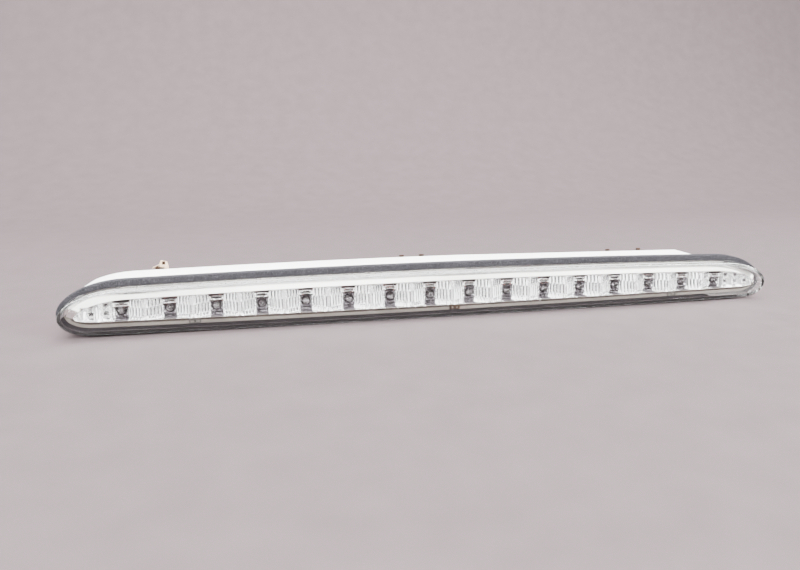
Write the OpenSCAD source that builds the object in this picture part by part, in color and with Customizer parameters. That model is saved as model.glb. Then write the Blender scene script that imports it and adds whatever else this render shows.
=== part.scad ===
// High-level brake lamp: a long slim lamp bar with D-shaped ends. +X runs along the
// bar, -Y is the way the light shines, +Z is up. The origin lies under the middle of
// the bar, on the surface that it stands on.
// Depths below are measured from the front face of the foam gasket, and heights from
// the level of the lens's widest line.

/* [Lens] */
// Length of the clear lens
lens_length = 573; // [480:1:640]
// Height of the lens's top edge above its reference line, at mid-length
lens_rise = 18.1; // [16:0.1:22]
// Depth of the lens's bottom edge below its reference line, at mid-length
lens_drop = 18.3; // [16:0.1:22]
// How far the lens stands out of the gasket
lens_depth = 11.3; // [9:0.1:16]
// Wall thickness of the lens
lens_wall = 2.5; // [1.5:0.1:3]
// How far the arched top edge falls, 300 mm from the middle
top_sag = 4.5; // [0:0.1:8]
// How far the bottom edge climbs, 300 mm from the middle
bottom_sag = 2; // [0:0.1:3]
// Length of the upper corner's sweep
upper_sweep = 43; // [30:1:80]
// Length of the lower corner's sweep
lower_sweep = 20; // [15:1:60]
// Height of the end's outermost point, from the reference line
end_level = -4.2; // [-8:0.1:4]

/* [Gasket] */
// How far the foam gasket stands out past the lens, above
gasket_overhang = 4.8; // [3:0.1:6]
// How far it stands out below
gasket_below = 3.5; // [3:0.1:6]
// How far it stands out past the lens's ends
gasket_ends = 3; // [2:0.1:6]
// Thickness of the gasket
gasket_thick = 6; // [4:0.5:10]

/* [Housing] */
// Depth from the gasket's front to the housing's back
housing_depth = 50; // [42:1:60]
// Wall thickness of the housing
housing_wall = 2.2; // [1.5:0.1:3]
// Where the housing's front edge starts, behind the gasket's front
housing_front = 4; // [3.5:0.1:5]
// Screw bosses' distance from the middle
boss_x = 150; // [100:1:200]
// Radius of the screw bosses' pilot bores
boss_bore_r = 2.1; // [1.5:0.1:2.5]
// Depth at which the slanted cut across the left end's back corner starts
cut_start = 24; // [16:1:30]
// How far that cut takes the left end in at the back
cut_in = 15; // [10:1:20]
// Depths at which the right end's step in starts and ends
step_y = [17, 24];
// How far in the right end is behind that step
step_in = 50; // [40:1:54]
// Height of the ribs on the back
rib = 1.5; // [1:0.1:2]

/* [Light sources] */
// Number of light sources
led_count = 16; // [8:1:16]
// Distance between light sources
led_pitch = 33; // [30:0.5:33]
// Height of their axes, from the reference line
led_level = -3.9; // [-5:0.1:-3]
// Diameter of a light source's dome
led_d = 5; // [3:0.1:5]

/* [Reflector] */
// Depth of the reflector's back plate
plate_y = 10; // [9:0.1:11]
// Thickness of the reflector's skin
skin = 1.2; // [1:0.1:1.5]
// Height of the tiers' lower edge
tier_low = -11.7; // [-12:0.1:-11.5]
// Heights of the steps between the tiers, and of the uppermost tier's top
tier_steps = [-8.7, 0.9, 6.3];

/* [Circuit board] */
// Length of the board
board_length = 528; // [512:1:530]
// Thickness of the board
board_thick = 1.6; // [1:0.1:2]

/* [Spring clips] */
// Places of the three clips along the top edge
clip_x = [-222, -21, 182];
// Distances between each clip's ears, where 0 is a clip with an upright tongue
clip_ears = [0, 17.7, 32];
// Thickness of the clips' sheet steel
clip_steel = 0.8; // [0.6:0.1:1]
// Height of the upright tongue above the housing
tongue_height = 6.8; // [5:0.2:9]

/* [Connector] */
// Place of the socket along the bar
socket_x = 82.5; // [76:0.5:88]
// Depth of the socket's shroud behind the housing
socket_depth = 10; // [8:1:14]

/* [Hidden] */
$fn = 48;

corner_steps = 10;
edge_steps = 13;
lens_foot = 2.5;                            // depth of the lens wall's inner end
lens_rim = 1.2;                             // radius of the lens's front edge
housing_grow = 0.6;                         // housing outside the lens's outline
flange = 1.2;                               // thickness of the reflector's flange
flange_clear = 0.1;                         // gap from the flange to the lens
ledge = 4.5;                                // width of the flange below the tiers
brow = 7.1;                                 // width of the flange above the tiers
mouth_in = 5.5;                             // how far in the tray's mouth is at the ends
dome_r = led_d / 2;
led_rim_r = dome_r + 0.4;
board_y = plate_y + skin + 2.3;             // front face of the board
board_back = board_y + board_thick;
board_low = -13;
board_high = 6;
screw_x = [for (k = [-7, -4, 0, 4, 7]) k * led_pitch];
screw_r = 1.1;
rim_clip_x = [-197, 2, 200];
rim_clip_w = 8.5;
rim_clip_h = 3.4;
rim_windows = [2.6, 1.5, 2.6];              // widths of the clips' two windows
blade_gap = 6.4;
blade = 0.8;
blade_w = 2.8;
socket_w = 16;
socket_h = 12;
socket_wall = 1.6;
socket_level = -2;
vent_x = -115.5;
rib_low = -14;
rib_high = 8;
rib_thick = 1.4;
boss_depth = 12;
shelf_drop = 5.2;                           // top of a clip's shelf, below the housing's top edge
shelf_thick = 2;
shelf_w = 9;
shelf_deep = 7;
tongue_w = 6.6;
tongue_gap = 0.3;
tongue_hole = 2;
hole_share = 0.67;                          // height of the hole in the upright tongue, as a share
tongue_back = 1.1;                          // gap from the housing to the upright tongue
wing = 4;                                   // reach of the wing beside the upright tongue
wing_low = 1.2;                             // height of the wing's tip above the housing's top edge
wing_high = 3.2;                            // height of the wing's root
lug_high = 1.4;                             // height of the lug in front of the tongue's foot
ear_rise = 1.7;                             // height of an ear above the housing's top edge
ear_w = 4;
rest_lean = 9;                              // lean of a low tongue at rest, in degrees
low_tongue = 6;                             // length of a low tongue
back = housing_depth;
deepest = back + socket_depth;
base_level = lens_drop + gasket_below;
mid_depth = (deepest - lens_depth) / 2;

function led_name(i) = str("led_", i < 10 ? "0" : "", i);
function led_x(i) = (i - (led_count + 1) / 2) * led_pitch;
function arch(x) = -top_sag * pow(x / 300, 2);
function climb(x) = bottom_sag * pow(x / 300, 2);
function top_edge(x) = lens_rise + housing_grow + arch(x);

// One quarter of the bar's outline, from the outermost point of the end to the edge
function corner(grow, sweep, reach, upper) = [
    for (i = [0:corner_steps - 1])
        let (a = 90 * i / corner_steps,
             x = lens_length / 2 + grow - sweep + sweep * cos(a),
             edge = upper ? reach + arch(x) : -reach + climb(x))
        [x, end_level + (edge - end_level) * sin(a)]];
function edge(half, reach, upper) = [
    for (i = [0:edge_steps])
        let (x = half - 2 * half * i / edge_steps)
        [x, upper ? reach + arch(x) : -reach + climb(x)]];
function half_outline(grow, sweep, reach, upper) =
    let (right = corner(grow, sweep, reach, upper),
         left = [for (i = [corner_steps - 1:-1:0]) [-right[i][0], right[i][1]]])
    concat(right, edge(lens_length / 2 + grow - sweep, reach, upper), left);

// The bar's D-ended outline, in X and Z: grown at the ends, the top and the bottom
module outline(ends, top, bottom) {
    upper = half_outline(ends, upper_sweep + ends, lens_rise + top, true);
    lower = half_outline(ends, lower_sweep + ends, lens_drop + bottom, false);
    polygon(concat(upper, [for (i = [len(lower) - 2:-1:1]) lower[i]]));
}
module grown(by) outline(by, by, by);
module deep(y0, y1) translate([0, y1, 0]) rotate([90, 0, 0]) linear_extrude(y1 - y0) children();
module slab(by, y0, y1) deep(y0, y1) grown(by);
module along(x0, x1) translate([x0, 0, 0]) rotate([90, 0, 90]) linear_extrude(x1 - x0) children();
module rod(x, z, y0, y1, r) translate([x, y1, z]) rotate([90, 0, 0]) cylinder(h = y1 - y0, r = r);
module block(x, y, z) translate([x[0], y[0], z[0]]) cube([x[1] - x[0], y[1] - y[0], z[1] - z[0]]);
module placed() translate([0, -mid_depth, base_level]) children();

// Clear cover: a skin with a rounded rim, on walls that run back to the bond
module outer_lens() color("white", 0.35) placed() difference() {
    hull() {
        slab(0, -lens_depth + lens_rim, lens_foot);
        slab(-0.3 * lens_rim, -lens_depth + 0.3 * lens_rim, lens_foot);
        slab(-lens_rim, -lens_depth, lens_foot);
    }
    slab(-lens_wall, -lens_depth + lens_wall, lens_foot + 1);
}

// Bead of adhesive between the lens's foot and the housing's front edge
module lens_bond() color("dimgray") placed() difference() {
    slab(0.1, lens_foot, housing_front);
    slab(housing_grow - housing_wall, lens_foot - 1, housing_front + 1);
}

// Foam ring, snug on the lens at its front and glued round the housing behind
module gasket() color([0.13, 0.13, 0.14]) placed() difference() {
    deep(0, gasket_thick) outline(gasket_ends, gasket_overhang, gasket_below);
    slab(0.15, -1, housing_front - 1);
    slab(housing_grow, housing_front - 1, gasket_thick + 1);
}

module clip_shelf(x) {
    z = top_edge(x) - shelf_drop;
    block([x - shelf_w / 2, x + shelf_w / 2], [back - 0.5, back + shelf_deep], [z - shelf_thick, z]);
}
module socket_shroud() {
    half_w = socket_w / 2;
    half_h = socket_h / 2;
    block([socket_x - 2, socket_x + 2], [back + 4, back + 7],
          [socket_level + half_h - 0.2, socket_level + half_h + 1.2]);
    difference() {
        block([socket_x - half_w, socket_x + half_w], [back - 0.5, deepest],
              [socket_level - half_h, socket_level + half_h]);
        block([socket_x - half_w + socket_wall, socket_x + half_w - socket_wall],
              [back, deepest + 1],
              [socket_level - half_h + socket_wall, socket_level + half_h - socket_wall]);
    }
}

// The shell's shape in plan: the left end's back corner is cut off, and the right end steps in
module plan(inset) translate([0, 0, -40]) linear_extrude(80) {
    half = lens_length / 2 + housing_grow + 0.01 - inset;
    polygon([[-half, -5], [half, -5], [half, step_y[0] - inset],
             [half - step_in, step_y[1] - inset], [half - step_in, back - inset],
             [cut_in - half, back - inset], [-half, cut_start]]);
}

// White shell behind the gasket, with screw bosses, back ribs, a socket shroud and clip shelves
module rear_housing() color("whitesmoke") placed() difference() {
    union() {
        difference() {
            intersection() {
                slab(housing_grow, housing_front, back);
                plan(0);
            }
            intersection() {
                slab(housing_grow - housing_wall, housing_front - 1, back);
                plan(housing_wall);
            }
        }
        for (k = [-7:6]) block([k * led_pitch - rib_thick / 2, k * led_pitch + rib_thick / 2],
                               [back - 0.5, back + rib], [rib_low, rib_high]);
        for (side = [-1, 1]) rod(side * boss_x, led_level, back - 14, back + 3, 5);
        for (x = clip_x) clip_shelf(x);
        socket_shroud();
        rod(vent_x, led_level, back - 0.5, back + 4, 2.6);
    }
    for (side = [-1, 1]) rod(side * boss_x, led_level, back + 3 - boss_depth, back + 4, boss_bore_r);
    rod(vent_x, led_level, back - housing_wall - 1, back + 5, 1.5);
    for (side = [-1, 1]) blade_at(side);
}

// One tier's cross-section: it leans back from its lower edge to its upper edge
module tier(z0, z1, lean) polygon([[plate_y + 0.5, z0], [plate_y - lean, z0], [plate_y - 0.4, z1],
                                   [plate_y + 0.5, z1]]);
module mouth(y0, y1, out = 0) deep(y0, y1)
    outline(out - mouth_in, out - lens_wall - brow, out - lens_wall - ledge + 0.4);

// Metallised tray: a flange behind the lens, walls, and three tiers with a pocket at each source
module reflector() color("silver") placed() difference() {
    union() {
        difference() {
            slab(-lens_wall - flange_clear, 0, flange);
            mouth(-1, flange + 1);
        }
        difference() {
            mouth(0, plate_y + skin, skin);
            mouth(-1, plate_y);
        }
        intersection() {
            mouth(0, plate_y + skin, 0.5);
            along(-lens_length / 2, lens_length / 2) {
                tier(tier_low - 0.6, tier_steps[0], 1.6);
                tier(tier_steps[0], tier_steps[1], 2.4);
                tier(tier_steps[1], tier_steps[2], 1.8);
                polygon([[flange, lens_rise - lens_wall - brow + 0.5], [plate_y, tier_steps[2]],
                         [plate_y + 0.5, tier_steps[2]], [plate_y + 0.5, lens_rise]]);
            }
        }
        for (x = screw_x) rod(x, led_level, plate_y, board_y, 3);
    }
    for (i = [1:led_count]) {
        rod(led_x(i), led_level, plate_y - 4, plate_y, dome_r + 1.6);
        rod(led_x(i), led_level, plate_y - 1, plate_y + skin + 1, dome_r + 0.4);
    }
    for (x = screw_x) rod(x, led_level, plate_y + 0.6, board_y + 1, screw_r);
}

// Clear 5 mm source: rim on the board, dome through the reflector, two legs through the board
module led(i) color("lightcyan", 0.7) placed() {
    x = led_x(i);
    tip = plate_y - 3.2;
    rod(x, led_level, board_y - 1, board_y, led_rim_r);
    rod(x, led_level, tip, board_y - 0.5, dome_r);
    translate([x, tip, led_level]) sphere(r = dome_r);
    for (side = [-1, 1]) rod(x + side * 1.27, led_level, board_y - 0.5, board_back + 1.2, 0.3);
}

// Long board across the reflector's back
module circuit_board() color("ivory") placed() difference() {
    block([-board_length / 2, board_length / 2], [board_y, board_back], [board_low, board_high]);
    for (i = [1:led_count]) for (side = [-1, 1])
        rod(led_x(i) + side * 1.27, led_level, board_y - 1, board_back + 1, 0.3);
    for (x = screw_x) rod(x, led_level, board_y - 1, board_back + 1, 1.3);
    for (side = [-1, 1]) rod(socket_x + side * blade_gap / 2, led_level + 6, board_y - 1, board_back + 1, 0.5);
}

// One power resistor for each group of four sources
module resistors() color("black") placed()
    for (g = [-1.5:1:1.5]) translate([g * 4 * led_pitch + 8, board_back, led_level - 6]) {
        block([-3.2, 3.2], [0, 0.7], [-1.6, 1.6]);
    }

// Diode that guards the board against a swapped supply
module polarity_diode() color("dimgray") placed()
    block([socket_x - 27, socket_x - 22.6], [board_back, board_back + 2.2], [led_level - 8, led_level - 4.4]);

// Two short insulated leads from the board to the contact blades
module inner_leads() color("firebrick") placed() for (side = [-1, 1]) {
    x = socket_x + side * blade_gap / 2;
    rod(x, led_level + 6, board_y + 0.2, board_back, 0.5);
    rod(x, led_level + 6, board_back, 28, 0.8);
    translate([x, 28, led_level + 6]) sphere(r = 0.95);
    lean = atan2(socket_level - led_level - 6, 12);
    translate([x, 28, led_level + 6]) rotate([lean - 90, 0, 0])
        cylinder(h = norm([12, socket_level - led_level - 6]), r = 0.8);
    translate([x, 40, socket_level]) sphere(r = 0.95);
    rod(x, socket_level, 40, back - 6, 0.8);
}

module blade_at(side) block([socket_x + side * blade_gap / 2 - blade / 2,
                             socket_x + side * blade_gap / 2 + blade / 2],
                            [back - 6, deepest - 2], [socket_level - blade_w / 2, socket_level + blade_w / 2]);
// Plug contacts, held in the housing's back wall
module contact_blades() color("goldenrod") placed() for (side = [-1, 1]) blade_at(side);

// Screws from the board's back into the reflector's bosses
module board_screws() color("silver") placed() for (x = screw_x) difference() {
    union() {
        rod(x, led_level, plate_y + 0.9, board_back, screw_r);
        rod(x, led_level, board_back, board_back + 1.6, 2.2);
    }
    block([x - 0.3, x + 0.3], [board_back + 0.8, board_back + 2], [led_level - 1.4, led_level + 1.4]);
    block([x - 1.4, x + 1.4], [board_back + 0.8, board_back + 2], [led_level - 0.3, led_level + 0.3]);
}

// Small spring clip on the ledge below the tiers
module rim_clip(i) color("darkgoldenrod") placed() difference() {
    x = rim_clip_x[i];
    half = rim_windows[i] / 2;
    low = -lens_drop + climb(x) + lens_wall + 0.3;
    block([x - rim_clip_w / 2, x + rim_clip_w / 2], [-0.7, 0], [low, low + rim_clip_h]);
    for (side = [-1, 1]) block([x + side * 1.9 - half, x + side * 1.9 + half], [-1, 1],
                               [low + 0.8, low + rim_clip_h - 0.8]);
}

// Cap over the breather spigot
module vent_cap() color([0.15, 0.15, 0.15]) placed() difference() {
    rod(vent_x, led_level, back + 0.2, back + 6, 4.2);
    rod(vent_x, led_level, back, back + 4.4, 2.6);
}

// Fixed part of a spring clip: a U of sheet steel round its shelf, with ears or a wing
module clip_foot(i) color("gold") placed() {
    x = clip_x[i];
    edge = top_edge(x);
    top = edge - shelf_drop;
    low = top - shelf_thick;
    half = max(shelf_w, clip_ears[i] + ear_w) / 2;
    deep_end = back + shelf_deep + clip_steel;
    block([x - half, x + half], [back + 0.1, deep_end], [top, top + clip_steel]);
    block([x - 4, x + 4], [back + 1.5, deep_end], [low - clip_steel, low]);
    block([x - 4, x + 4], [back + shelf_deep, deep_end], [low - clip_steel, top + clip_steel]);
    if (clip_ears[i] > 0) for (side = [-1, 1]) translate([x + side * clip_ears[i] / 2, 0, 0])
        block([-ear_w / 2, ear_w / 2], [back + 0.1, back + 0.1 + clip_steel], [top, edge + ear_rise]);
    else translate([x, 0, edge]) {
        block([-half, clip_steel - half], [back + 0.1, back + 4], [top - edge, wing_high]);
        deep(back + 0.1, back + 4)
            polygon([[-half - wing, wing_low - clip_steel], [clip_steel - half, wing_high - clip_steel],
                     [clip_steel - half, wing_high], [-half - wing, wing_low]]);
        deep(back + 0.1, back + 0.1 + clip_steel)
            polygon([[-half - 2, -1], [0.4, -1], [0.4, 0.9], [clip_steel - half, 1.7],
                     [clip_steel - half, wing_high - 0.4], [-half - 2, lug_high]]);
    }
}

// Moving part of a spring clip, which flexes about its fold at the foot's front edge
module clip_tongue(i) color("gold") placed() {
    x = clip_x[i];
    edge = top_edge(x);
    base = edge - shelf_drop + clip_steel + tongue_gap;
    half = tongue_w / 2;
    hole = tongue_height * hole_share - tongue_hole / 2;
    if (clip_ears[i] == 0) translate([x, 0, edge]) difference() {
        deep(back + tongue_back, back + tongue_back + clip_steel)
            polygon([[-half, base - edge], [half, base - edge], [half + 0.2, 1.9],
                     [half - 0.7, tongue_height - 1.1], [1.2 - half, tongue_height], [-half, 4.2]]);
        block([-tongue_hole / 2, tongue_hole / 2], [back, back + 3], [hole, hole + tongue_hole]);
    }
    else translate([x, back + 1.4, base]) rotate([rest_lean, 0, 0])
        block([-tongue_w / 2, tongue_w / 2], [0, low_tongue], [0, clip_steel]);
}

outer_lens();
lens_bond();
gasket();
rear_housing();
reflector();
for (i = [1:led_count]) led(i);
circuit_board();
resistors();
polarity_diode();
inner_leads();
contact_blades();
board_screws();
rim_clip(0);  // rim_clip_left
rim_clip(1);  // rim_clip_centre
rim_clip(2);  // rim_clip_right
vent_cap();
clip_foot(0);  // clip_foot_left
clip_foot(1);  // clip_foot_centre
clip_foot(2);  // clip_foot_right
clip_tongue(0);  // clip_tongue_left
clip_tongue(1);  // clip_tongue_centre
clip_tongue(2);  // clip_tongue_right
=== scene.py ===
"""Third brake light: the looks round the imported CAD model, in metres, in the model's own frame.

Depths are measured from the front face of the foam gasket and heights from the level of the
lens's widest line, in millimetres, as on a drawing of the lamp; at() turns them into the frame.
"""
import itertools
import math
import random

import bmesh
import bpy
from mathutils import Matrix, Vector


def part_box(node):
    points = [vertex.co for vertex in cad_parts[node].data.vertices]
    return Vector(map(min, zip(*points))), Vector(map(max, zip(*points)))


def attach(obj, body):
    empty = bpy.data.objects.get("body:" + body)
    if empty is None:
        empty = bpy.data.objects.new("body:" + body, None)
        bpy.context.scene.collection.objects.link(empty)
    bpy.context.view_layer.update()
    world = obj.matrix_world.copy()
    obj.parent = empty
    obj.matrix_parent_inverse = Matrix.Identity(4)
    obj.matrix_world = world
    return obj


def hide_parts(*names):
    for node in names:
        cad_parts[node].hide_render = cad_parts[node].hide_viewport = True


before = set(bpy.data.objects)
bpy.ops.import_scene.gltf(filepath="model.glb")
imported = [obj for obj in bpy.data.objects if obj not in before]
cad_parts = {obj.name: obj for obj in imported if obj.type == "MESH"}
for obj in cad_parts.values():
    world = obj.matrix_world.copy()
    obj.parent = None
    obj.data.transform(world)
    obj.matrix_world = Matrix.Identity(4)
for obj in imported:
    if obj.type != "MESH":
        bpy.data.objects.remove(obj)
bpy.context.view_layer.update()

# ---------------------------------------------------------------- sizes, in millimetres
MM = 0.001
LENS_LENGTH = 573.0
LENS_RISE = 18.1
LENS_DROP = 18.3
LENS_DEPTH = 11.3
LENS_WALL = 2.5
LENS_FOOT = 2.5
TOP_SAG = 4.5
BOTTOM_SAG = 2.0
UPPER_SWEEP = 43.0
LOWER_SWEEP = 20.0
END_LEVEL = -4.2
FACE_CROWN = 0.3
FILM_RIGHT = 238.0
LED_COUNT = 16
LED_PITCH = 33.0
LED_LEVEL = -3.9
TAB_RISE = 6.8
GASKET_OVER = 4.8
GASKET_BELOW = 3.5
GASKET_ENDS = 3.0
GASKET_THICK = 6.0
HOUSING_GROW = 0.6
DOME_RADIUS = 2.5
DOME_RIM = 2.9
LEG_OUT = 1.27
TIP_Y = 4.3
BOARD_Y = 13.5

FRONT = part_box("gasket")[0][1]
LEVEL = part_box("outer_lens")[0][2] + LENS_DROP * MM


def at(x, y, z):
    """A point from its millimetres along the lamp, behind the gasket's front and above the level."""
    return Vector((x * MM, FRONT + y * MM, LEVEL + z * MM))


# ---------------------------------------------------------------- the D-ended outline
def arch(x):
    """Height of the top edge at x from its height in the middle, which it sags below."""
    return -TOP_SAG * (x / 300) ** 2


def climb(x):
    """Height of the bottom edge at x from its height in the middle, which it climbs above."""
    return BOTTOM_SAG * (x / 300) ** 2


def edge_height(x, reach, upper):
    """Height of a long edge at x, where reach is its distance from the level in the middle."""
    return reach + arch(x) if upper else -reach + climb(x)


def limit(x, ends, reach, upper, level=END_LEVEL):
    """Height of the outline's upper or lower edge at x, round the ends' corners too."""
    sweep = (UPPER_SWEEP if upper else LOWER_SWEEP) + ends
    inside = LENS_LENGTH / 2 + ends - sweep
    along = min(max((abs(x) - inside) / sweep, 0), 1)
    return level + (edge_height(x, reach, upper) - level) * math.sqrt(1 - along * along)


def half_outline(ends, reach, upper, corner, edge, level):
    """The upper or lower half of the outline, from the right tip to the left one."""
    sweep = (UPPER_SWEEP if upper else LOWER_SWEEP) + ends
    inside = LENS_LENGTH / 2 + ends - sweep
    right = []
    for i in range(corner):
        a = math.pi / 2 * i / corner
        x = inside + sweep * math.cos(a)
        right.append((x, level + (edge_height(x, reach, upper) - level) * math.sin(a)))
    middle = []
    for i in range(edge + 1):
        x = inside - 2 * inside * i / edge
        middle.append((x, edge_height(x, reach, upper)))
    return right + middle + [(-x, z) for x, z in reversed(right)]


def outline(ends, top=None, bottom=None, corner=18, edge=60, level=END_LEVEL):
    """The lamp's outline grown by a distance, as (x, z) points over the top and back below."""
    top = ends if top is None else top
    bottom = ends if bottom is None else bottom
    upper = half_outline(ends, LENS_RISE + top, True, corner, edge, level)
    lower = half_outline(ends, LENS_DROP + bottom, False, corner, edge, level)
    return upper + lower[-2:0:-1]


def ring(grow, y):
    """The lamp's outline grown by a distance, at one depth."""
    return [at(x, y, z) for x, z in outline(grow)]


# ---------------------------------------------------------------- mesh helpers
WELD = 0.002 * MM


def piece(name, verts, faces, materials, body="lamp", sharp=40, slots=None):
    """A smooth-shaded mesh object that rides on a body."""
    mesh = bpy.data.meshes.new(name)
    mesh.from_pydata(verts, [], faces)
    for m in materials:
        mesh.materials.append(m)
    if slots:
        mesh.polygons.foreach_set("material_index", slots)
    mesh.validate()
    mesh.polygons.foreach_set("use_smooth", [True] * len(mesh.polygons))
    mesh.set_sharp_from_angle(angle=math.radians(sharp))
    obj = bpy.data.objects.new(name, mesh)
    bpy.context.scene.collection.objects.link(obj)
    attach(obj, body)
    return obj


def tidy(obj, sharp=None):
    """Welds doubled points, drops slivers, turns faces outwards and marks the sharp edges."""
    bm = bmesh.new()
    bm.from_mesh(obj.data)
    bmesh.ops.remove_doubles(bm, verts=bm.verts, dist=WELD)
    bmesh.ops.dissolve_degenerate(bm, edges=bm.edges, dist=WELD)
    bmesh.ops.recalc_face_normals(bm, faces=bm.faces)
    bm.to_mesh(obj.data)
    bm.free()
    if sharp:
        obj.data.set_sharp_from_angle(angle=math.radians(sharp))


def loft(rings, closed=False):
    """Quads between rings of equal length; closed joins the last ring to the first."""
    n = len(rings[0])
    verts = [p for r in rings for p in r]
    faces = []
    for k in range(len(rings) if closed else len(rings) - 1):
        a, b = k * n, (k + 1) % len(rings) * n
        for i in range(n):
            j = (i + 1) % n
            faces.append((a + i, a + j, b + j, b + i))
    return verts, faces


def lathe(centre, profile, sides):
    """A turned shape about a line along Y: profile is (radius, depth) pairs, ends on the axis."""
    verts, faces, rows = [], [], []
    for r, y in profile:
        if r == 0:
            rows.append([len(verts)] * sides)
            verts.append(centre + Vector((0, y * MM, 0)))
            continue
        rows.append([len(verts) + i for i in range(sides)])
        for i in range(sides):
            a = 2 * math.pi * i / sides
            verts.append(centre + Vector((r * math.cos(a), y, r * math.sin(a))) * MM)
    for low, high in zip(rows, rows[1:]):
        for i in range(sides):
            j = (i + 1) % sides
            quad = [low[i], low[j], high[j], high[i]]
            faces.append(tuple(dict.fromkeys(quad)))
    return verts, [f for f in faces if len(f) > 2]


def joined(parts):
    """One list of points and faces from several."""
    verts, faces = [], []
    for v, f in parts:
        base = len(verts)
        verts += v
        faces += [tuple(base + i for i in face) for face in f]
    return verts, faces


# ---------------------------------------------------------------- material helpers
def material(name, colour, **sockets):
    mat = bpy.data.materials.new(name)
    mat.use_nodes = True
    shader = mat.node_tree.nodes["Principled BSDF"]
    shader.inputs["Base Color"].default_value = (*colour, 1)
    for key, value in sockets.items():
        shader.inputs[key.replace("_", " ")].default_value = value
    return mat


def node(mat, kind, **values):
    """A new shader node, in a material or in the world."""
    n = mat.node_tree.nodes.new(kind)
    for key, value in values.items():
        setattr(n, key, value)
    return n


def link(mat, a, b):
    mat.node_tree.links.new(a, b)


def shader_of(mat):
    return mat.node_tree.nodes["Principled BSDF"]


def noise(mat, scale, detail=3.0, stretch=(1, 1, 1)):
    """Noise in the frame's own metres, so that it sits still on the object."""
    place = node(mat, "ShaderNodeTexCoord")
    mapping = node(mat, "ShaderNodeMapping")
    mapping.inputs["Scale"].default_value = stretch
    tex = node(mat, "ShaderNodeTexNoise")
    tex.inputs["Scale"].default_value = scale
    tex.inputs["Detail"].default_value = detail
    link(mat, place.outputs["Object"], mapping.inputs["Vector"])
    link(mat, mapping.outputs["Vector"], tex.inputs["Vector"])
    return tex.outputs["Fac"]


def ramp(mat, factor, stops):
    """A colour ramp through (place, colour) stops."""
    n = node(mat, "ShaderNodeValToRGB")
    n.color_ramp.elements[0].position = stops[0][0]
    n.color_ramp.elements[0].color = (*stops[0][1], 1)
    n.color_ramp.elements[1].position = stops[-1][0]
    n.color_ramp.elements[1].color = (*stops[-1][1], 1)
    for place, colour in stops[1:-1]:
        n.color_ramp.elements.new(place).color = (*colour, 1)
    link(mat, factor, n.inputs["Fac"])
    return n.outputs["Color"]


def grey(v):
    return (v, v, v)


def mixed(mat, factor, first, second, blend="MIX"):
    """Two colours mixed by a factor, which is a number or another node's output."""
    n = node(mat, "ShaderNodeMix", data_type="RGBA", blend_type=blend)
    if isinstance(factor, float):
        n.inputs[0].default_value = factor
    else:
        link(mat, factor, n.inputs[0])
    link(mat, first, n.inputs[6])
    link(mat, second, n.inputs[7])
    return n.outputs[2]


def bumped(mat, height, strength, distance):
    n = node(mat, "ShaderNodeBump")
    n.inputs["Strength"].default_value = strength
    n.inputs["Distance"].default_value = distance
    link(mat, height, n.inputs["Height"])
    link(mat, n.outputs["Normal"], shader_of(mat).inputs["Normal"])


def roughened(mat, factor, low, high):
    spread = ramp(mat, factor, [(0.3, grey(low)), (0.7, grey(high))])
    link(mat, spread, shader_of(mat).inputs["Roughness"])


def coloured(mat, factor, stops):
    link(mat, ramp(mat, factor, stops), shader_of(mat).inputs["Base Color"])


def lets_lamps_through(mat, tint):
    """Mixes in a see-through shader for shadow rays, so that lamps light what is inside."""
    tree = mat.node_tree
    out = next(n for n in tree.nodes if n.type == "OUTPUT_MATERIAL")
    path = node(mat, "ShaderNodeLightPath")
    clear = node(mat, "ShaderNodeBsdfTransparent")
    clear.inputs["Color"].default_value = (*tint, 1)
    mix = node(mat, "ShaderNodeMixShader")
    link(mat, path.outputs["Is Shadow Ray"], mix.inputs[0])
    link(mat, shader_of(mat).outputs["BSDF"], mix.inputs[1])
    link(mat, clear.outputs["BSDF"], mix.inputs[2])
    link(mat, mix.outputs["Shader"], out.inputs["Surface"])


# ---------------------------------------------------------------- materials
def see_through(name, colour, rough):
    return material(name, colour, Roughness=rough, IOR=1.45, Transmission_Weight=1.0)


def clear_plastic():
    mat = see_through("clear_polycarbonate", (0.985, 0.99, 0.99), 0.0)
    bumped(mat, noise(mat, 30, 2), 0.02, 0.0003)
    roughened(mat, noise(mat, 300, 4), 0.0, 0.012)
    lets_lamps_through(mat, (0.95, 0.96, 0.96))
    return mat


def clear_epoxy():
    mat = see_through("clear_epoxy", (0.66, 0.63, 0.65), 0.02)
    bumped(mat, noise(mat, 900, 2), 0.05, 0.0001)
    lets_lamps_through(mat, (0.9, 0.92, 0.94))
    return mat


def metallised():
    mat = material("metallised_tray", (0.92, 0.92, 0.915), Metallic=0.78, Roughness=0.06)
    coloured(mat, noise(mat, 60, 4), [(0.3, (0.90, 0.90, 0.895)), (0.7, (0.97, 0.97, 0.965))])
    roughened(mat, noise(mat, 500, 3), 0.05, 0.16)
    bumped(mat, noise(mat, 260, 3), 0.12, 0.0003)
    return mat


def plated_brow():
    """Pale plating with a faint ripple that runs along the lamp."""
    high = (0.93, 0.92, 0.88)
    mat = material("plated_brow", high, Metallic=1.0, Roughness=0.05)
    coloured(mat, noise(mat, 40, 4), [(0.3, (0.88, 0.86, 0.82)), (0.7, high)])
    roughened(mat, noise(mat, 300, 3), 0.02, 0.06)
    bumped(mat, noise(mat, 120, 2, (0.1, 1, 1)), 0.06, 0.0003)
    return mat


def painted_dark_plating(name, low, high, scale=420, shine=1.0):
    """Plating at the bottom of a pocket, painted dark for the shade there and the dark surroundings it
    mirrors, but still mirror-like.
    """
    mat = material(name, high, Metallic=shine, Roughness=0.06)
    coloured(mat, noise(mat, scale, 3), [(0.4, low), (0.6, high)])
    roughened(mat, noise(mat, 500, 2), 0.04, 0.10)
    bumped(mat, noise(mat, 300, 2), 0.2, 0.0004)
    return mat


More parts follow.
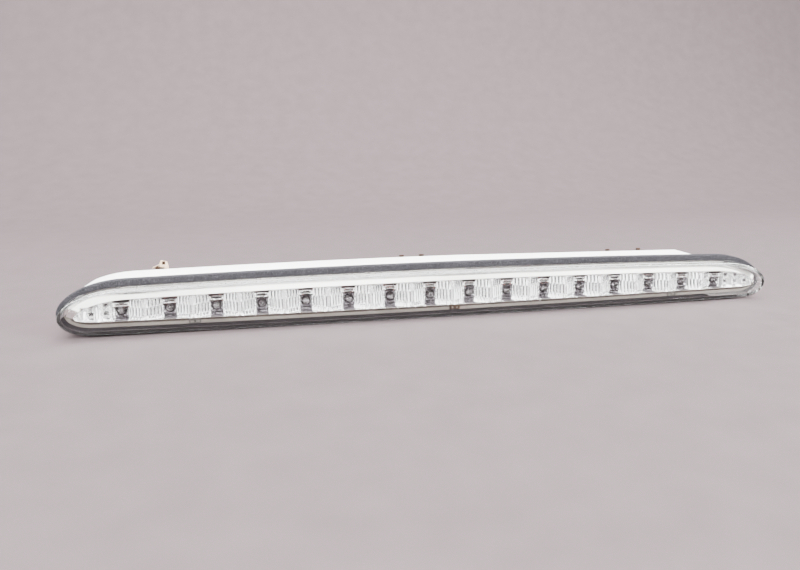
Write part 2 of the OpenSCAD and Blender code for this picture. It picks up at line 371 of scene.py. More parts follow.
def rising(mat):
    """Runs from 0 at a reach below the level to 1 at the same reach above it."""
    reach = 8
    place = node(mat, "ShaderNodeTexCoord")
    split = node(mat, "ShaderNodeSeparateXYZ")
    span = node(mat, "ShaderNodeMapRange")
    span.inputs["From Min"].default_value = LEVEL - reach * MM
    span.inputs["From Max"].default_value = LEVEL + reach * MM
    link(mat, place.outputs["Object"], split.inputs["Vector"])
    link(mat, split.outputs["Z"], span.inputs["Value"])
    return span.outputs["Result"]


def foam():
    """Black foam, painted lighter along its top run where light falls from above and darker along the
    shaded run below.
    """
    mat = material("foam_rubber", (0.02, 0.02, 0.022), Roughness=0.95, Specular_IOR_Level=0.05)
    cells = noise(mat, 1500, 5)
    black = ((0.006, 0.006, 0.007), (0.022, 0.022, 0.025), (0.06, 0.06, 0.066))
    # The lighter tones are painted light on the top run; rising() blends them in by height.
    lit_top = ((0.010, 0.010, 0.011), (0.031, 0.030, 0.034), (0.09, 0.09, 0.098))
    shades = [ramp(mat, cells, list(zip((0.35, 0.6, 0.75), tones))) for tones in (black, lit_top)]
    link(mat, mixed(mat, rising(mat), *shades), shader_of(mat).inputs["Base Color"])
    bumped(mat, cells, 0.7, 0.0005)
    return mat


def white_plastic():
    mat = material("white_housing_plastic", (0.86, 0.86, 0.84), Roughness=0.42, Specular_IOR_Level=0.5)
    coloured(mat, noise(mat, 18, 4), [(0.3, (0.80, 0.80, 0.78)), (0.7, (0.88, 0.88, 0.865))])
    roughened(mat, noise(mat, 420, 4), 0.36, 0.52)
    bumped(mat, noise(mat, 1600, 4), 0.12, 0.0002)
    return mat


def plated(name, low, high, rough=(0.2, 0.42)):
    mat = material(name, high, Metallic=1.0, Roughness=0.3)
    coloured(mat, noise(mat, 380, 5), [(0.35, low), (0.65, high)])
    roughened(mat, noise(mat, 700, 4), *rough)
    bumped(mat, noise(mat, 900, 4, (1, 0.2, 1)), 0.15, 0.0002)
    return mat


def moulded(name, low, high, rough=(0.4, 0.65), scale=500, lift=0.2):
    mat = material(name, high, Roughness=0.5)
    coloured(mat, noise(mat, scale, 4), [(0.3, low), (0.7, high)])
    roughened(mat, noise(mat, scale * 2, 3), *rough)
    bumped(mat, noise(mat, scale * 3, 4), lift, 0.0002)
    return mat


def bond_bead():
    """Black adhesive, painted pale along its top run where light falls on it and black along the shaded
    lower run, in blotches.
    """
    mat = material("bond_bead", (0.05, 0.05, 0.05), Roughness=0.8, Specular_IOR_Level=0.0)
    # Painted light: the height ramp plus noise blotches, so the top run reads pale and the lower run
    # black.
    lit_blotch = node(mat, "ShaderNodeMath", operation="ADD")
    link(mat, rising(mat), lit_blotch.inputs[0])
    patches = ramp(mat, noise(mat, 300, 4), [(0.3, grey(0)), (0.7, grey(0.3))])
    link(mat, patches, lit_blotch.inputs[1])
    coloured(mat, lit_blotch.outputs["Value"], [(0.3, grey(0.004)), (0.6, grey(0.06)), (1.0, grey(0.6))])
    bumped(mat, noise(mat, 900, 4), 0.4, 0.0002)
    return mat


def backdrop_paper():
    mat = material("backdrop", (0.5, 0.47, 0.475), Roughness=0.95, Specular_IOR_Level=0.1)
    coloured(mat, noise(mat, 40, 6), [(0.3, (0.068, 0.0535, 0.056)), (0.7, (0.076, 0.060, 0.063))])
    return mat


LENS = clear_plastic()
EPOXY = clear_epoxy()
CHROME = metallised()
BROW = plated_brow()
# The ledge is the plated flange's lower run, given a dull beige-grey that paints the floor's reflection in
# it.
LEDGE = moulded("ledge_painted_reflection", (0.050, 0.042, 0.035), (0.070, 0.060, 0.051), (0.3, 0.5), 60, 0.05)
SHADOW_LINE = moulded("step_shadow", (0.006, 0.004, 0.0035), (0.016, 0.011, 0.009), (0.7, 0.9), 90, 0.05)
# Painted shade and reflection on the tray: brown for reflection and shade in the pockets' top tier, greys
# for shade in the pockets, flutes and collars and for the dark surroundings they mirror.
PAINTED_AMBER_REFLECTION = painted_dark_plating("pocket_painted_brown_reflection", (0.008, 0.003, 0.003), (0.11, 0.055, 0.048))
PAINTED_DARK_SHADE = painted_dark_plating("pocket_painted_dark_shade", (0.020, 0.017, 0.020), (0.15, 0.138, 0.15), 620, 0.6)
COLLAR = painted_dark_plating("collar_painted_shade", (0.06, 0.055, 0.06), (0.42, 0.40, 0.42), 700)
PAINTED_LIGHT_SHADE = painted_dark_plating("flute_painted_light_shade", (0.20, 0.19, 0.20), (0.55, 0.53, 0.54))
FOAM = foam()
WHITE = white_plastic()
ZINC = moulded("zinc_yellow", (0.33, 0.235, 0.155), (0.46, 0.345, 0.25), (0.2, 0.35), 300, 0.1)
# Zinc plating painted dark: the dark reflections on the centre and right saddles, and the shade under the
# left wing and in its hole.
ZINC_PAINTED_SHADE = plated("zinc_painted_shade", (0.010, 0.006, 0.004), (0.040, 0.024, 0.017), (0.4, 0.6))
BRASS = moulded("rim_brass", (0.004, 0.002, 0.001), (0.022, 0.011, 0.005), (0.3, 0.5), 900, 0.3)
RIM_STEEL = moulded("rim_steel", (0.012, 0.011, 0.010), (0.05, 0.046, 0.042), (0.3, 0.5), 700, 0.3)
STEEL = plated("spring_steel", (0.22, 0.21, 0.20), (0.60, 0.59, 0.57))
LEADS = plated("lead_frame", (0.12, 0.11, 0.115), (0.45, 0.43, 0.44))
BOARD = moulded("solder_mask", (0.55, 0.56, 0.54), (0.72, 0.73, 0.70), (0.25, 0.4), 200, 0.1)
BLACK = moulded("component_black", (0.015, 0.015, 0.017), (0.05, 0.05, 0.055))
RUBBER = moulded("cap_rubber", (0.02, 0.02, 0.02), (0.06, 0.06, 0.062), (0.6, 0.85))
BEAD = bond_bead()
# A black sheet that paints the shade seen through the lens's lower wall; lamps shine through it.
SHADE_FILM = moulded("painted_shade_film", (0.0008, 0.0008, 0.001), (0.003, 0.003, 0.0035), (0.8, 0.95), 300, 0.05)
for dull in (SHADE_FILM, SHADOW_LINE, BRASS, RIM_STEEL):
    shader_of(dull).inputs["Specular IOR Level"].default_value = 0.0
lets_lamps_through(SHADE_FILM, (0.9, 0.9, 0.9))
RED_LEAD = moulded("lead_insulation", (0.35, 0.02, 0.02), (0.55, 0.05, 0.04))


# ---------------------------------------------------------------- clear lens
def outer_lens():
    """A shell with a rounded rim and a slightly crowned face, closed at its foot."""
    rim = 1.1
    straight = rim + FACE_CROWN - LENS_DEPTH
    rings = [ring(0, LENS_FOOT), ring(0, (LENS_FOOT + straight) / 2), ring(0, straight)]
    for k in range(1, 8):
        a = math.pi / 2 * k / 7
        rings.append(ring(rim * (math.cos(a) - 1), straight - rim * math.sin(a)))
    slopes = ((-3.5, 0.15), (-7, 0.07), (-11, 0.02))
    rings += [ring(grow, y - LENS_DEPTH) for grow, y in slopes]
    fillet = 0.25
    corner_y = LENS_WALL + FACE_CROWN - LENS_DEPTH + fillet
    inner = [ring(grow, y + LENS_WALL - LENS_DEPTH) for grow, y in reversed(slopes[1:])]
    for k in range(6):
        a = math.pi / 2 * (1 - k / 5)
        inner.append(ring(-LENS_WALL + fillet * (math.cos(a) - 1), corner_y - fillet * math.sin(a)))
    inner += [ring(-LENS_WALL, -3.0), ring(-LENS_WALL, LENS_FOOT)]
    verts, faces = loft(rings)
    count = len(rings[0])
    faces += across((len(rings) - 1) * count, count)
    base = len(verts)
    more, more_faces = loft(inner)
    verts += more
    faces += [tuple(base + i for i in f) for f in more_faces]
    faces += across(base, count)
    last = len(verts) - count
    faces += [(i, (i + 1) % count, last + (i + 1) % count, last + i) for i in range(count)]
    obj = piece("lens_cover", verts, faces, [LENS], sharp=60)
    tidy(obj, 60)
    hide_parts("outer_lens")


def across(start, count):
    """Faces that bridge a ring's upper points to the lower points beneath them."""
    half = count // 2
    faces = []
    for i in range(half):
        a, b = start + i, start + i + 1
        c, d = start + (count - i - 1), start + (count - i) % count
        faces.append(tuple(dict.fromkeys((a, b, c, d))))
    return [f for f in faces if len(f) > 2]


def film_path(grow):
    """The part of the outline that the film covers: from the left tip along the bottom."""
    path = outline(grow, corner=24, edge=80)
    return sorted(p for p in path if p[1] <= END_LEVEL + 0.001 and p[0] < FILM_RIGHT)


def lens_shade_film():
    """Black film on the inside of the lens's lower wall, between the tray's ledge and the face, that
    paints the shade seen through that wall.
    """
    front, rear, gap, thick = -8.2, -0.1, 0.05, 0.15
    skin = film_path(-LENS_WALL - gap)
    inside = film_path(-LENS_WALL - gap - thick)
    sections = []
    for (x0, z0), (x1, z1) in zip(skin, inside):
        sections.append([at(x0, front, z0), at(x0, rear, z0), at(x1, rear, z1), at(x1, front, z1)])
    verts, faces = loft(sections)
    last = len(verts) - 4
    faces += [(3, 2, 1, 0), (last, last + 1, last + 2, last + 3)]
    obj = piece("lens_shade_film", verts, faces, [SHADE_FILM], sharp=40)
    tidy(obj, 40)


# ---------------------------------------------------------------- reflector
MOUTH_ENDS = -5.7
MOUTH_SLIDE = 2.8
SLIDE_START = 230
SLIDE_SPAN = 40
MOUTH_LEVEL = -7.2
MOUTH_TOP = 8.5
MOUTH_LOW = 11.7
STEP_LOW = -8.2
STEP_MID = 0.9
ROOF = 6.6
FLUTES = 5
FLUTE_STEPS = 6
PANEL = LED_PITCH / 6.4
END_START = (LED_COUNT - 1) / 2 * LED_PITCH + PANEL
PANEL_STEPS = 16
CELLS = 3
BOWL_DEPTH = 10.0
BOWL_RISE = 9.0
FLUTE_BULGE = 0.42
END_DEPTH = 6.5
END_RISE = 2.8
CELL_BULGE = 0.35
TIER_ROWS = (6, 16, 12)
TIER_LEAN = (1.9, 1.7, 1.5)
# each tier's pocket: height of its middle, half its height, its depth and the rise to its rim
POCKETS = ((-10.3, 1.9, 9.8, 2.4), (LED_LEVEL, 4.7, 10.2, 3.4), (3.7, 2.9, 9.8, 2.4))
LAMP_HOLE = 2.9
FLANGE_LEAN = 0.95
BROW_STEP = 0.03
LEDGE_STEP = 0.37
TRAY_FRONT = 0.9
TRAY_SKIN = 0.8
# The tray's slots: plain plating, painted reflection and shade in brown, and painted shade and dark
# reflection in dark and light grey.
PLAIN, REFLECTED_BROWN, SHADED_GREY, SHADED_PALE = range(4)


def slide(x):
    """How far to the right the mouth's ends lie, off the lens's own ends."""
    return MOUTH_SLIDE * min(max((abs(x) - SLIDE_START) / SLIDE_SPAN, 0), 1)


def mouth_edge(x, upper):
    """Height of the mouth's upper or lower edge at x."""
    reach = MOUTH_TOP if upper else MOUTH_LOW
    return limit(x - slide(x), MOUTH_ENDS, reach, upper, MOUTH_LEVEL)


def column_places():
    """X of every mesh column: flutes, lamp panels and the ends' small cells."""
    flute = (LED_PITCH / 2 - PANEL) / FLUTES
    places = []
    for k in range(LED_COUNT):
        centre = (k - (LED_COUNT - 1) / 2) * LED_PITCH
        places += [centre - PANEL + 2 * PANEL * i / PANEL_STEPS for i in range(PANEL_STEPS + 1)]
        for side in (-1, 1):
            edge = centre + side * PANEL
            if abs(edge) > END_START - 0.1:
                continue
            places += [edge + side * flute * i / FLUTE_STEPS for i in range(FLUTES * FLUTE_STEPS + 1)]
    step = 2 * PANEL / (CELLS * FLUTE_STEPS)
    for side in (-1, 1):
        reach = LENS_LENGTH / 2 + MOUTH_ENDS + side * MOUTH_SLIDE
        x = END_START
        while x < reach:
            places.append(side * x)
            x += step
        places.append(side * (reach - 0.02))
    return sorted(set(round(p, 4) for p in places))


def bowl(x):
    """Depth of a lamp's fluted bowl at x, the flute's own bulge, and how far x is from the lamp."""
    if abs(x) > END_START:
        part = (abs(x) - END_START) / (2 * PANEL)
        u = 2 * (part - math.floor(part)) - 1
        f = (part * CELLS) % 1
        return END_DEPTH - END_RISE * abs(u) ** 1.5, (1 - (2 * f - 1) ** 2) * CELL_BULGE, None
    k = round(x / LED_PITCH + (LED_COUNT - 1) / 2)
    away = x - (k - (LED_COUNT - 1) / 2) * LED_PITCH
    u = abs(away) / (LED_PITCH / 2)
    depth = BOWL_DEPTH - BOWL_RISE * u ** 1.7
    if abs(away) <= PANEL:
        return depth, 0.0, away
    f = (abs(away) - PANEL) / ((LED_PITCH / 2 - PANEL) / FLUTES) % 1
    return depth, (1 - (2 * f - 1) ** 2) * FLUTE_BULGE, away


def tray_depth(x, z, tier, s):
    """Depth of the tray at x and z, a share s up its tier."""
    depth, bulge, away = bowl(x)
    if away is not None and abs(away) < PANEL - 0.01:
        middle, half_height, deepest, rise = POCKETS[tier]
        r = math.hypot(away / PANEL, (z - middle) / half_height)
        return deepest - rise * min(r, 1) ** 2
    ease = min(1.0, (depth - 0.6) / 3)
    return max(depth - TIER_LEAN[tier] * (1 - s) * ease - bulge * ease, TRAY_FRONT)


def pocket_shade(share, tier, s):
    """Painted shade and reflection round a lamp, where share runs from 0 at its middle to 1 at the flutes.
    """
    if tier == 0:
        return SHADED_GREY if share < 0.84 else PLAIN
    if tier == 1:
        arc = 0.62 < share < 0.78 and 0.15 < s < 0.75
        return SHADED_GREY if share < 0.9 and not arc else PLAIN
    bar = s > 0.62 or s < 0.14
    lip = 0.28 < s < 0.46 and share < 0.8
    return REFLECTED_BROWN if bar or lip else PLAIN


def shade(x, away, tier, s):
    """Which of the tray's materials a face has: plain plating, or a mark of painted shade and reflection.
    """
    # Painted shade: spots on the small cells at the ends, and stripes along the flutes.
    if away is None:
        part = (abs(x) - END_START) / (2 * PANEL) % 1
        mark = 0.3 < part < 0.62 and 0.25 < s < 0.75
        end_shade = SHADED_GREY if x > 0 else SHADED_PALE
        return end_shade if mark else PLAIN
    if abs(away) < PANEL:
        return pocket_shade(abs(away) / PANEL, tier, max(s, 0))
    across_flute = (abs(away) - PANEL) / ((LED_PITCH / 2 - PANEL) / FLUTES) % 1
    if abs(away) > LED_PITCH / 2 - 1:
        return PLAIN
    if tier == 2:
        return SHADED_GREY if across_flute > 0.6 and 0.12 < s < 0.88 else PLAIN
    if tier == 1:
        return SHADED_GREY if 0.1 < across_flute < 0.45 and 0.06 < s < 0.92 else PLAIN
    return SHADED_PALE if across_flute > 0.5 and 0.15 < s < 0.8 else PLAIN


def tray_rows(x):
    """(z, y, tier) up one column, from the front plate below the mouth to that above it."""
    low, high = mouth_edge(x, False), mouth_edge(x, True)
    marks = [low, STEP_LOW, STEP_MID + arch(x), ROOF + arch(x)]
    rows = [(low, TRAY_FRONT, 0)]
    for tier in range(3):
        a, b = marks[tier], marks[tier + 1]
        for i in range(TIER_ROWS[tier] + 1):
            s = i / TIER_ROWS[tier]
            held = min(max(a + (b - a) * s, low), high)
            rows.append((held, tray_depth(x, held, tier, s), tier))
    rows.append((high, min(rows[-1][1], 2.0), 2))
    rows.append((high, TRAY_FRONT, 2))
    return rows


def tray_frame():
    """The tray's front frame: a flat ledge below, in a colour that paints the floor's reflection and with
    a painted shadow along its upper step, and above it a band that leans back.
    """
    corner, edge = 24, 90
    thick = 2.2
    inner = outline(MOUTH_ENDS, MOUTH_TOP - LENS_RISE, MOUTH_LOW - LENS_DROP, corner, edge, MOUTH_LEVEL)
    outer = outline(-LENS_WALL - 0.1, corner=corner, edge=edge)
    brow_points = 2 * corner + edge + 1
    rings = [[], [], [], [], [], []]
    for i, ((x0, z0), (x1, z1)) in enumerate(zip(inner, outer)):
        x0 += slide(x0)
        lean = FLANGE_LEAN if i < brow_points else 0
        lean *= min((z1 - END_LEVEL) / 8, 1)
        step = BROW_STEP if i < brow_points else LEDGE_STEP
        rings[0].append(at(x0, 1.5, z0))
        rings[1].append(at(x0, 0.12, z0))
        rings[2].append(at(x0 + (x1 - x0) * step, 0.02, z0 + (z1 - z0) * step))
        rings[3].append(at(x1, lean, z1))
        rings[4].append(at(x1, thick, z1))
        rings[5].append(at(x0 + (x1 - x0) * 0.1, thick, z0 + (z1 - z0) * 0.1))
    verts, faces = loft(rings, closed=True)
    slots = []
    for face in faces:
        # Below the brow the faces take the ledge's painted reflection, and the step next to the mouth a
        # painted shadow.
        lower = face[0] % len(inner) >= brow_points - 1
        step_face = min(face) // len(inner) == 1
        slots.append((2 if step_face else 1) if lower else 0)
    obj = piece("tray_frame", verts, faces, [BROW, LEDGE, SHADOW_LINE], sharp=30, slots=slots)
    tidy(obj, 30)


def collars():
    """Plated funnels round the lamps, down to their domes, in darker plating that paints the shade round
    each lamp.
    """
    bore = [(2.56, 10.8), (2.56, 8.9), (2.7, 8.65), (3.1, 8.2), (3.55, 7.55)]
    skirt = [(3.6, 7.6), (3.2, 8.5), (2.8, 10.8)]
    parts = []
    for i in range(1, LED_COUNT + 1):
        parts.append(lathe(at(led_place(i), 0, LED_LEVEL), bore + skirt + bore[:1], 32))
    verts, faces = joined(parts)
    obj = piece("tray_collars", verts, faces, [COLLAR], sharp=40)
    tidy(obj)


def tray():
    """Fluted bowls in three tiers, with a hole at each lamp, behind the tray's frame."""
    verts, faces, slots = [], [], []
    columns = []
    row_starts = (1, 1 + TIER_ROWS[0] + 1, 1 + TIER_ROWS[0] + TIER_ROWS[1] + 2)
    for x in column_places():
        rows = tray_rows(x)
        columns.append((x, len(verts), rows))
        verts += [at(x, y, z) for z, y, _ in rows]
    for (x0, a, rows), (x1, b, _) in zip(columns, columns[1:]):
        middle = (x0 + x1) / 2
        away = bowl(middle)[2]
        for i in range(len(rows) - 1):
            z = (rows[i][0] + rows[i + 1][0]) / 2
            tier = rows[i][2]
            if away is not None and math.hypot(away, z - LED_LEVEL) < LAMP_HOLE:
                continue
            faces.append((a + i, a + i + 1, b + i + 1, b + i))
            # Each face takes plain plating or a mark of painted shade and reflection.
            slots.append(shade(middle, away, tier, (i - row_starts[tier]) / TIER_ROWS[tier]))
    obj = piece("fluted_tray", verts, faces, [CHROME, PAINTED_AMBER_REFLECTION, PAINTED_DARK_SHADE, PAINTED_LIGHT_SHADE], slots=slots)
    solid = obj.modifiers.new("skin", "SOLIDIFY")
    solid.thickness = TRAY_SKIN * MM
    solid.offset = -1
    bm = bmesh.new()
    bm.from_mesh(obj.data)
    bmesh.ops.remove_doubles(bm, verts=bm.verts, dist=0.000001)
    bmesh.ops.recalc_face_normals(bm, faces=bm.faces)
    facing_back = sum(f.normal.y * f.calc_area() for f in bm.faces)
    if facing_back > 0:
        bmesh.ops.reverse_faces(bm, faces=bm.faces)
    bm.to_mesh(obj.data)
    bm.free()
    obj.data.set_sharp_from_angle(angle=math.radians(34))
    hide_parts("reflector")


# ---------------------------------------------------------------- light sources
def led_place(i):
    """X of light source i, counted from 1 at the left."""
    return (i - (LED_COUNT + 1) / 2) * LED_PITCH


def light_source(i):
    """A clear dome with its rim, and inside it the cup and posts that run out as legs."""
    centre = at(led_place(i), 0, LED_LEVEL)
    base = BOARD_Y
    dome = [(0, TIP_Y)]
    for k in range(1, 9):
        a = math.pi / 2 * k / 8
        dome.append((DOME_RADIUS * math.sin(a), TIP_Y + DOME_RADIUS * (1 - math.cos(a))))
    dome += [(DOME_RADIUS, base - 1.05), (DOME_RADIUS + 0.05, base - 1.0), (DOME_RIM - 0.05, base - 1.0)]
    dome += [(DOME_RIM, base - 0.95), (DOME_RIM, base), (0, base)]
    verts, faces = lathe(centre, dome, 28)
    name = f"led_{i:02d}"
    body = piece(f"{name}_dome", verts, faces, [EPOXY], sharp=50)
    tidy(body, 50)
    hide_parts(name)
    cup_place = centre + Vector((-0.45 * MM, 0, 0))
    post_place = centre + Vector((LEG_OUT * MM, 0, 0))
    cup = [(0, TIP_Y + 4.2), (0.35, TIP_Y + 4.2), (0.85, TIP_Y + 3.6), (0.95, TIP_Y + 3.6)]
    cup += [(0.9, TIP_Y + 5.4), (0.4, TIP_Y + 6.2), (0.3, base - 0.1), (0, base - 0.1)]
    post = [(0, TIP_Y + 3.9), (0.3, TIP_Y + 4.0), (0.3, TIP_Y + 5.5), (0.25, base - 0.1), (0, base - 0.1)]
    disc = [(0, base - 0.9), (2.3, base - 0.9), (2.3, base - 0.7), (0, base - 0.7)]
    leg = [(0, base + 0.02), (0.24, base + 0.02), (0.24, base + 2.7), (0, base + 2.8)]
    parts = [lathe(cup_place, cup, 14), lathe(post_place, post, 10), lathe(centre, disc, 20)]
    for side in (-1, 1):
        parts.append(lathe(centre + Vector((side * LEG_OUT * MM, 0, 0)), leg, 8))
    verts, faces = joined(parts)
    frame_piece = piece(f"{name}_leadframe", verts, faces, [LEADS], sharp=40)
    tidy(frame_piece)


# ---------------------------------------------------------------- gasket
def gasket():
    """Foam ring with softened edges and a slightly uneven skin."""
    rng = random.Random(5)
    soft = 0.9
    wobble = 0.07
    profile = [(0.15, 3.0), (0.15, 0.5), (0.35, 0.12), (0.8, 0.0)]
    for k in range(6):
        a = math.pi / 2 * k / 5
        profile.append((GASKET_OVER - soft + soft * math.sin(a), soft - soft * math.cos(a)))
    for k in range(6):
        a = math.pi / 2 * k / 5
        profile.append((GASKET_OVER - soft + soft * math.cos(a), GASKET_THICK - soft + soft * math.sin(a)))
    profile += [(0.9, GASKET_THICK), (HOUSING_GROW, GASKET_THICK - 0.2), (HOUSING_GROW, 3.0)]
    rings = []
    for grow, y in profile:
        pts = []
        share = max(grow - HOUSING_GROW, 0) / (GASKET_OVER - HOUSING_GROW)
        ends = min(grow, HOUSING_GROW) + share * (GASKET_ENDS - HOUSING_GROW)
        below = min(grow, HOUSING_GROW) + share * (GASKET_BELOW - HOUSING_GROW)
        for x, z in outline(ends, grow, below, corner=30, edge=150):
            shake = rng.uniform(-wobble, 0) if grow > 0.8 else 0
            pts.append(at(x, y - shake * 0.5, z + (shake if z > 0 else -shake)))
        rings.append(pts)
    verts, faces = loft(rings, closed=True)
    obj = piece("foam_gasket", verts, faces, [FOAM], sharp=70)
    tidy(obj, 70)
    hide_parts("gasket")


# ---------------------------------------------------------------- pieces taken from the frame
def softened(name, node_name, mat, width, body="lamp"):
    """A copy of a CAD node with its flat faces joined and its edges rounded."""
    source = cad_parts[node_name]
    mesh = source.data.copy()
    mesh.materials.clear()
    mesh.materials.append(mat)
    obj = bpy.data.objects.new(name, mesh)
    obj.matrix_world = source.matrix_world.copy()
    bpy.context.scene.collection.objects.link(obj)
    bm = bmesh.new()
    bm.from_mesh(mesh)
    bmesh.ops.remove_doubles(bm, verts=bm.verts, dist=WELD)
    bmesh.ops.dissolve_limit(bm, angle_limit=math.radians(1), verts=bm.verts, edges=bm.edges)
    sharp = [e for e in bm.edges if len(e.link_faces) == 2 and e.calc_face_angle(0) > math.radians(30)]
    bmesh.ops.bevel(bm, geom=sharp, offset=width * MM, segments=2, profile=0.5,
                    affect="EDGES", clamp_overlap=True)
    bmesh.ops.recalc_face_normals(bm, faces=bm.faces)
    for f in bm.faces:
        f.smooth = True
        f.material_index = 0
    bm.to_mesh(mesh)
    bm.free()
    mesh.set_sharp_from_angle(angle=math.radians(35))
    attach(obj, body)
    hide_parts(node_name)
    return obj


def dress(node_name, mat):
    """Gives a CAD node its finish."""
    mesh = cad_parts[node_name].data
    mesh.materials.clear()
    mesh.materials.append(mat)


def plate_in(box, name, mat, body):
    """A thin upright plate that fills a box; here a dark plate that paints the shade seen through an
    opening.
    """
    low, high = box
    verts = [Vector(corner) for corner in itertools.product(*zip(low, high))]
    faces = [(0, 1, 3, 2), (4, 6, 7, 5), (0, 4, 5, 1), (2, 3, 7, 6), (0, 2, 6, 4), (1, 5, 7, 3)]
    obj = piece(name, verts, faces, [mat], body, sharp=30)
    bm = bmesh.new()
    bm.from_mesh(obj.data)
    bmesh.ops.bevel(bm, geom=bm.edges[:], offset=0.1 * MM, segments=2, profile=0.5, affect="EDGES")
    bmesh.ops.recalc_face_normals(bm, faces=bm.faces)
    bm.to_mesh(obj.data)
    bm.free()


def clips():
    """The housing's spring clips and the small clips on the tray's ledge."""
    bend = 0.15
    for place in ("centre", "right"):
        # The centre and right saddles are all in the dark zinc, a painted reflection.
        softened(f"clip_{place}_saddle", f"clip_foot_{place}", ZINC_PAINTED_SHADE, bend)
        softened(f"clip_{place}_tab", f"clip_tongue_{place}", ZINC, bend, f"tongue_{place}")
    saddle = softened("clip_left_saddle", "clip_foot_left", ZINC, bend)
    softened("clip_left_tab", "clip_tongue_left", ZINC, bend, "tongue_left")
    low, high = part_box("clip_tongue_left")
    middle = (low[0] + high[0]) / 2
    edge = high[2] - TAB_RISE * MM
    paint_wing_shade(saddle, middle, edge)
    # A dark plate in the left tab's hole paints the shade seen through it.
    hole = (Vector((middle - 1.3 * MM, low[1] - 0.15 * MM, edge + 3.3 * MM)),
            Vector((middle + 1.1 * MM, high[1] - 0.1 * MM, edge + 5.9 * MM)))
    plate_in(hole, "clip_left_hole_shade", ZINC_PAINTED_SHADE, "tongue_left")
    for place, mat, slot in (("left", RIM_STEEL, "rim_steel"), ("centre", BRASS, "rim_brass"),
                             ("right", RIM_STEEL, "rim_steel")):
        softened(f"rim_spring_{place}", f"rim_clip_{place}", mat, 0.12)


def paint_wing_shade(saddle, middle, edge):
    """Paints shade on the left saddle below a line that climbs along its wing, and on its underside."""
    slope, start = 0.45, 3.6
    saddle.data.materials.append(ZINC_PAINTED_SHADE)
    for face in saddle.data.polygons:
        across_by = (face.center.x - middle) / MM
        above = (face.center.z - edge) / MM
        if above < slope * across_by + start or face.normal.z < -0.5:
            face.material_index = 1


def inner_parts():
    """Finishes for the nodes that stay as the CAD made them."""
    finishes = {"lens_bond": BEAD, "circuit_board": BOARD, "resistors": BLACK, "polarity_diode": BLACK,
                "inner_leads": RED_LEAD, "contact_blades": ZINC, "board_screws": STEEL, "vent_cap": RUBBER}
    for node_name, mat in finishes.items():
        dress(node_name, mat)


# ---------------------------------------------------------------- stage, lights and camera
def stage():
    """Seamless paper: a floor that sweeps up behind the lamp."""
    half_w, near, bend, radius, high = 3.0, -2.5, 0.55, 0.7, 3.0
    profile = [(near, 0.0), (bend, 0.0)]
    for k in range(1, 17):
        a = math.pi / 2 * k / 16
        profile.append((bend + radius * math.sin(a), radius * (1 - math.cos(a))))
    profile.append((bend + radius, high))
    verts, faces = [], []
    for y, z in profile:
        verts += [(-half_w, y, z), (half_w, y, z)]
    for k in range(len(profile) - 1):
        a = 2 * k
        faces.append((a, a + 1, a + 3, a + 2))
    mesh = bpy.data.meshes.new("paper_sweep")
    mesh.from_pydata(verts, [], faces)
    mesh.materials.append(backdrop_paper())
    mesh.polygons.foreach_set("use_smooth", [True] * len(mesh.polygons))
    obj = bpy.data.objects.new("paper_sweep", mesh)
    bpy.context.scene.collection.objects.link(obj)


def softbox(name, place, target, size, power):
    """A rectangular lamp that faces a target."""
    data = bpy.data.lights.new(name, "AREA")
    data.shape = "RECTANGLE"
    data.size, data.size_y = size
    data.energy = power
    obj = bpy.data.objects.new(name, data)
    obj.location = place
    obj.rotation_euler = (Vector(target) - Vector(place)).to_track_quat("-Z", "Y").to_euler()
    bpy.context.scene.collection.objects.link(obj)


def lights():
    """Soft overhead and front light, with strips from the sides and a wash on the paper."""
    softbox("overhead", (0, -0.1, 1.5), (0, 0, 0), (2.2, 1.6), 215)
    softbox("front_high", (-0.3, -1.5, 1.1), (0, 0, 0.02), (2.0, 0.7), 105)
    softbox("left_strip", (-1.5, -0.9, 0.5), (0, 0, 0.02), (0.5, 0.9), 40)
    softbox("right_strip", (1.5, -1.0, 0.75), (0.1, 0, 0.02), (1.0, 0.6), 125)
    softbox("front_low", (0.4, -2.2, 0.10), (0, 0, 0.04), (4.6, 0.20), 18)
    softbox("backdrop_wash", (0.2, 0.3, 2.2), (0.2, 1.2, 0.45), (2.8, 0.5), 128)


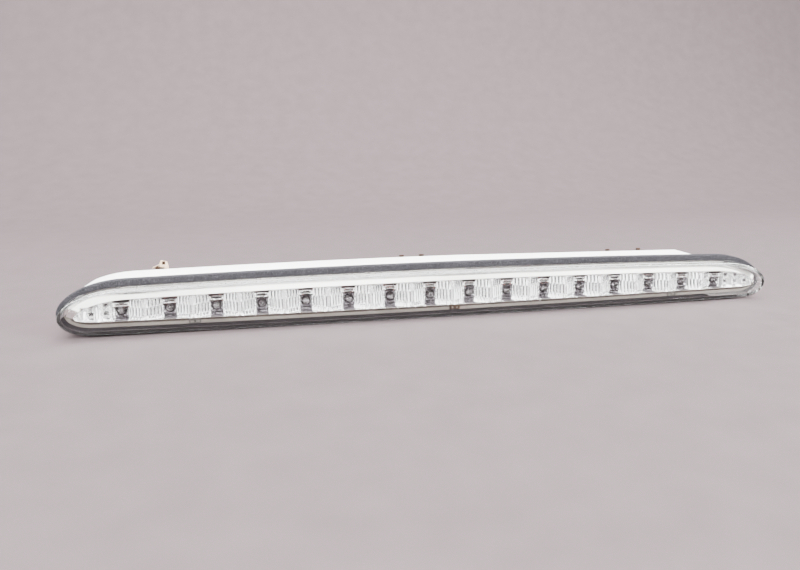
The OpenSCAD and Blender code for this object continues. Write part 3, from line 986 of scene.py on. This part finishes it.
def surroundings():
    """What the plating reflects: pale and dark directions, though the camera sees plain grey."""
    world = bpy.data.worlds.new("studio")
    bpy.context.scene.world = world
    world.use_nodes = True
    coord = node(world, "ShaderNodeTexCoord").outputs["Generated"]
    wave = node(world, "ShaderNodeTexNoise")
    wave.inputs["Scale"].default_value = 2.2
    wave.inputs["Detail"].default_value = 1.0
    link(world, coord, wave.inputs["Vector"])
    patches = ramp(world, wave.outputs["Fac"], [(0.42, (0.05, 0.048, 0.05)), (0.55, (0.95, 0.93, 0.93))])
    height = node(world, "ShaderNodeSeparateXYZ")
    link(world, coord, height.inputs["Vector"])
    heights = [(0.07, grey(0.8)), (0.13, grey(0.08)), (0.40, grey(0.08)), (0.55, grey(1.0))]
    bands = ramp(world, height.outputs["Z"], heights)
    back = world.node_tree.nodes["Background"]
    back.inputs["Strength"].default_value = 4.0
    link(world, mixed(world, 1.0, patches, bands, "MULTIPLY"), back.inputs["Color"])
    plain = node(world, "ShaderNodeBackground")
    plain.inputs["Color"].default_value = (0.52, 0.48, 0.485, 1)
    path = node(world, "ShaderNodeLightPath")
    mix = node(world, "ShaderNodeMixShader")
    out = next(n for n in world.node_tree.nodes if n.type == "OUTPUT_WORLD")
    link(world, path.outputs["Is Camera Ray"], mix.inputs[0])
    link(world, back.outputs["Background"], mix.inputs[1])
    link(world, plain.outputs["Background"], mix.inputs[2])
    link(world, mix.outputs["Shader"], out.inputs["Surface"])


VIEW_YAW = 13.57
VIEW_DIP = 13.45
VIEW_ROLL = 0.467
VIEW_LENS = 28.83
VIEW_PLACE = (-157.03, -472.33, 122.60)


def camera():
    """The photo's own view."""
    data = bpy.data.cameras.new("camera")
    data.lens = VIEW_LENS
    data.sensor_width = 36
    data.clip_start = 0.01
    obj = bpy.data.objects.new("camera", data)
    yaw = Matrix.Rotation(math.radians(-VIEW_YAW), 4, "Z")
    dip = Matrix.Rotation(math.radians(90 - VIEW_DIP), 4, "X")
    roll = Matrix.Rotation(math.radians(VIEW_ROLL), 4, "Z")
    obj.matrix_world = Matrix.Translation(at(*VIEW_PLACE)) @ yaw @ dip @ roll
    bpy.context.scene.collection.objects.link(obj)
    bpy.context.scene.camera = obj


stage()
lights()
surroundings()
camera()
outer_lens()
lens_shade_film()
tray_frame()
collars()
tray()
for number in range(1, LED_COUNT + 1):
    light_source(number)
gasket()
softened("housing_shell", "rear_housing", WHITE, 0.5)
clips()
inner_parts()
